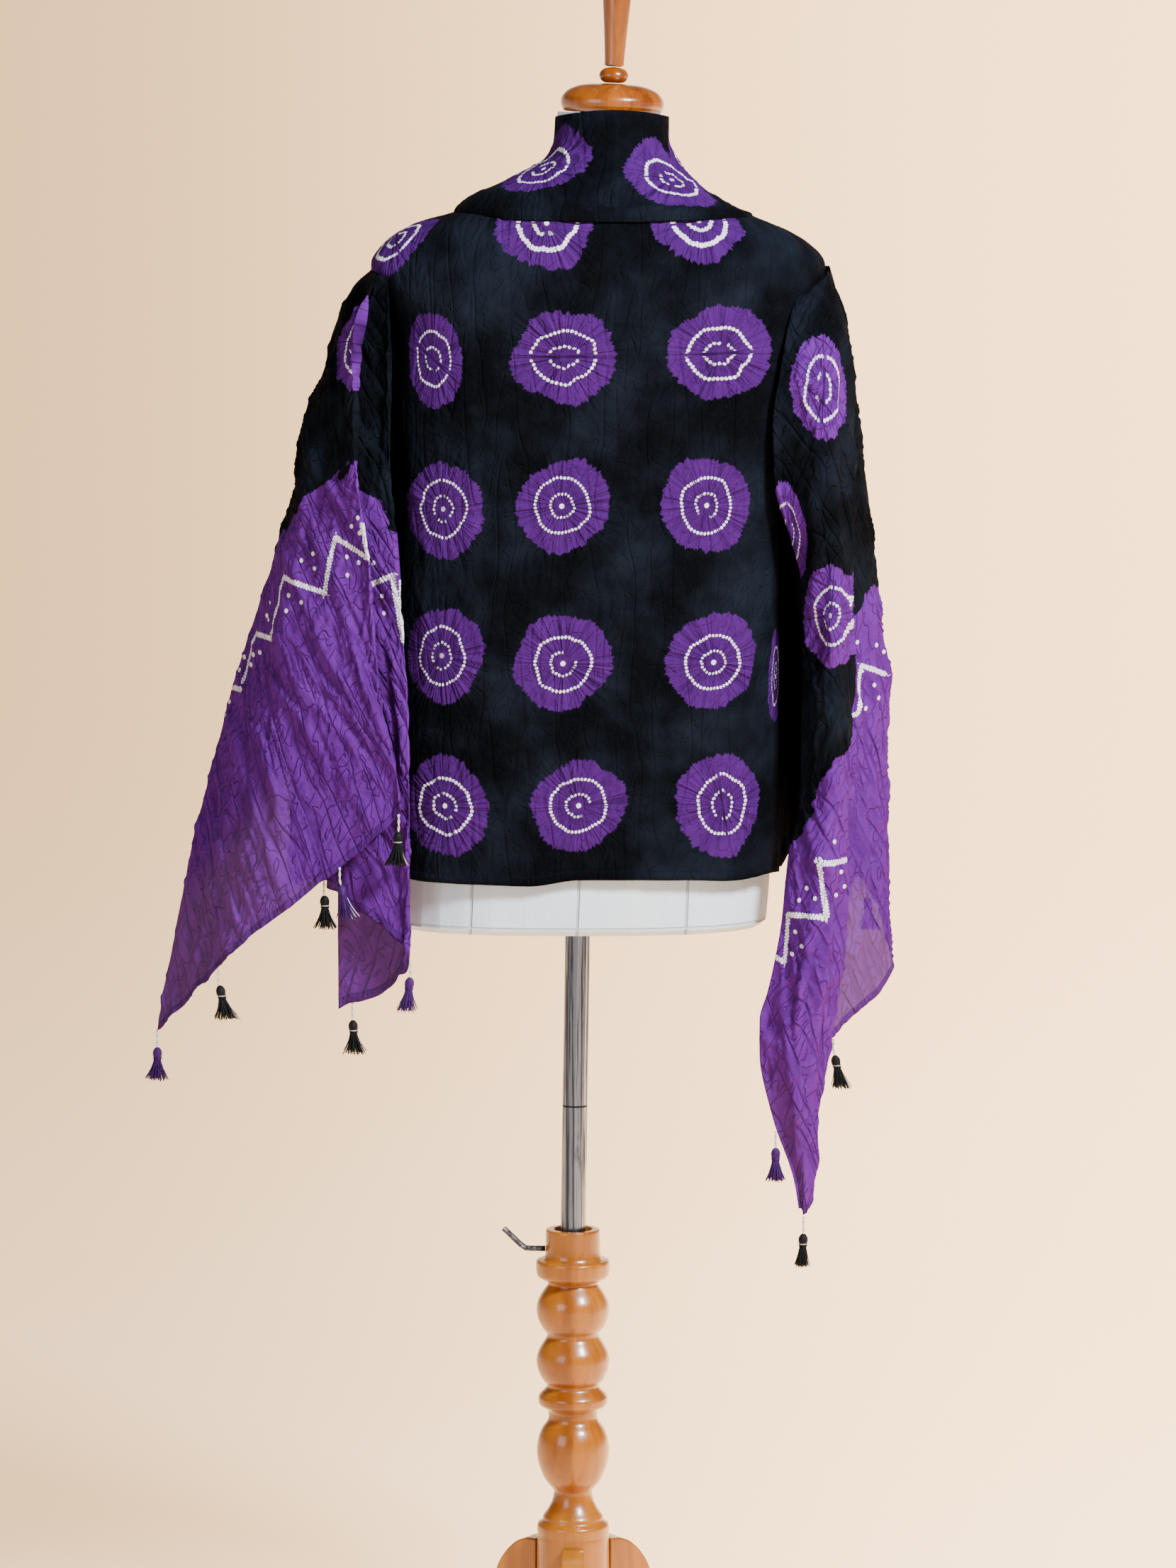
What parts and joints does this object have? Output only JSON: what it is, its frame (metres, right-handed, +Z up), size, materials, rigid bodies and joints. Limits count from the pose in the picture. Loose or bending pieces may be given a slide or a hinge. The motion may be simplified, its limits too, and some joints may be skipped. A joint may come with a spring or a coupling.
{
  "type": "dupatta stole draped on a limbless dress form with a wooden stand",
  "caption": "Black and purple tie-dyed cotton dupatta stole with tassels, draped as a shawl over a limbless dress form on a turned wooden stand.",
  "frame": {"origin": "centre of the box round the whole part, on the floor", "axes": "+Z up; the wide panel of the stole, the pictured side, faces -Y; +X to the right of that view"},
  "size_m": [0.7078, 0.403, 1.6959],
  "materials": {
    "stole_cotton": "matte crinkled cotton voile",
    "tassel_purple": "matte thread",
    "tassel_black": "matte thread",
    "form_cloth": "matte",
    "cap_wood": "gloss varnish",
    "post_wood": "gloss varnish",
    "pole_chrome": "worn, scratched",
    "lever_steel": "dark"
  },
  "bodies": {
    "root": {"stole_collar": "stole_cotton", "stole_panel": "stole_cotton", "stole_left_outer": "stole_cotton", "stole_left_inner": "stole_cotton", "stole_left_flank": "stole_cotton", "stole_right_front": "stole_cotton", "stole_right_pleat": "stole_cotton", "stole_right_back": "stole_cotton", "tassel_left_1": "tassel_purple", "tassel_left_2": "tassel_black", "tassel_left_3": "tassel_purple", "tassel_left_4": "tassel_black", "tassel_left_5": "tassel_black", "tassel_left_6": "tassel_purple", "tassel_left_7": "tassel_black", "tassel_right_1": "tassel_black", "tassel_right_2": "tassel_purple", "tassel_right_3": "tassel_black", "tassel_right_4": "tassel_purple", "tassel_right_5": "tassel_purple", "form_body": "form_cloth", "neck_cap": "cap_wood", "cap_ball": "cap_wood", "cap_handle": "cap_wood", "pole": "pole_chrome", "post": "post_wood", "clamp_lever": "lever_steel", "leg_1": "post_wood", "leg_2": "post_wood", "leg_3": "post_wood"}
  },
  "joints": []
}
